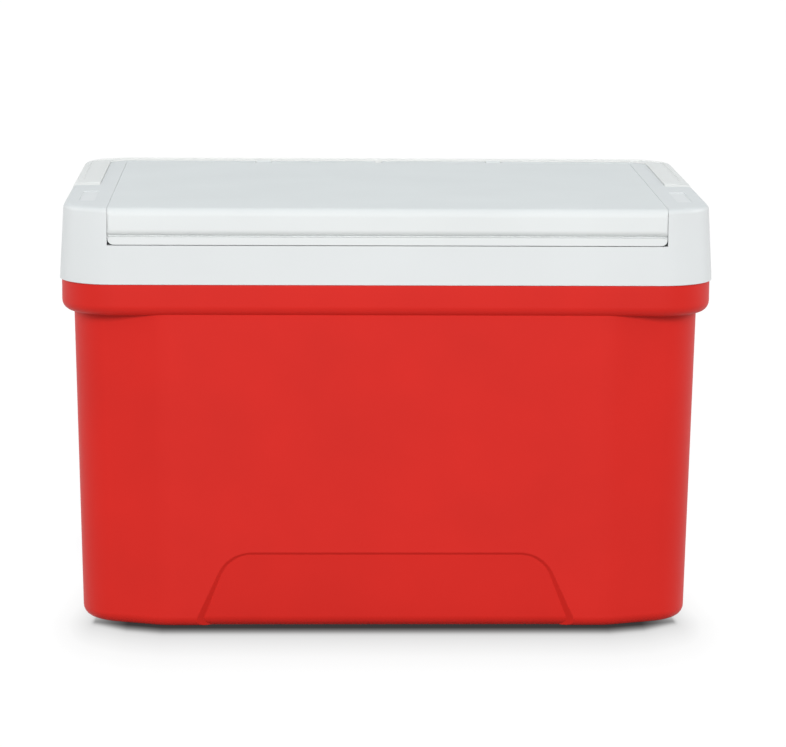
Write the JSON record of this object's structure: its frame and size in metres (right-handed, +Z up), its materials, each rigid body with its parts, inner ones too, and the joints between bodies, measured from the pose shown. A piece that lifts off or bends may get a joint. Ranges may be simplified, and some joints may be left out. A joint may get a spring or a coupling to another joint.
{
  "type": "hard cooler",
  "caption": "Small hard-sided cooler: drafted red tub with bevelled corners, white rim collar, hinged lid and a swing-up carrying bail that folds back round the rear.",
  "frame": {"origin": "middle of the underside, on the surface that the cooler stands on", "axes": "+X to the cooler's right as seen from the front, along its longest side; +Y to the back, where the lid is hinged; +Z up"},
  "size_m": [0.3354, 0.2286, 0.2192],
  "materials": {
    "red_plastic": "injection-moulded polypropylene with a fine even grain, satin",
    "white_plastic": "white injection-moulded plastic, fine grain, satin",
    "lid_plastic": "white injection-moulded plastic, fine textured top, satin",
    "bail_plastic": "white injection-moulded plastic, smooth and slightly warm",
    "liner_plastic": "smooth white food-grade plastic",
    "insulation_foam": "pale rigid foam, closed cell",
    "pin_steel": "drawn steel wire pin"
  },
  "bodies": {
    "tub": {"tub_shell": "red_plastic", "tub_insulation": "insulation_foam", "tub_liner": "liner_plastic", "rim_collar": "white_plastic", "hinge_pin_left": "pin_steel", "hinge_pin_right": "pin_steel", "bail_pivot_left": "white_plastic", "bail_pivot_right": "white_plastic"},
    "lid": {"lid_cover": "lid_plastic", "lid_insulation": "insulation_foam", "lid_liner": "liner_plastic"},
    "bail": {"bail_handle": "bail_plastic"}
  },
  "joints": [
    {"name": "lid_hinge", "type": "hinge", "parent": "tub", "child": "lid", "pos_m": [0, 0.0982, 0.2159], "axis": [-1, 0, 0], "range_deg": [0, 100]},
    {"name": "bail_swing", "type": "hinge", "parent": "tub", "child": "bail", "pos_m": [0, -0.0056, 0.2102], "axis": [1, 0, 0], "range_deg": [0, 90]}
  ]
}
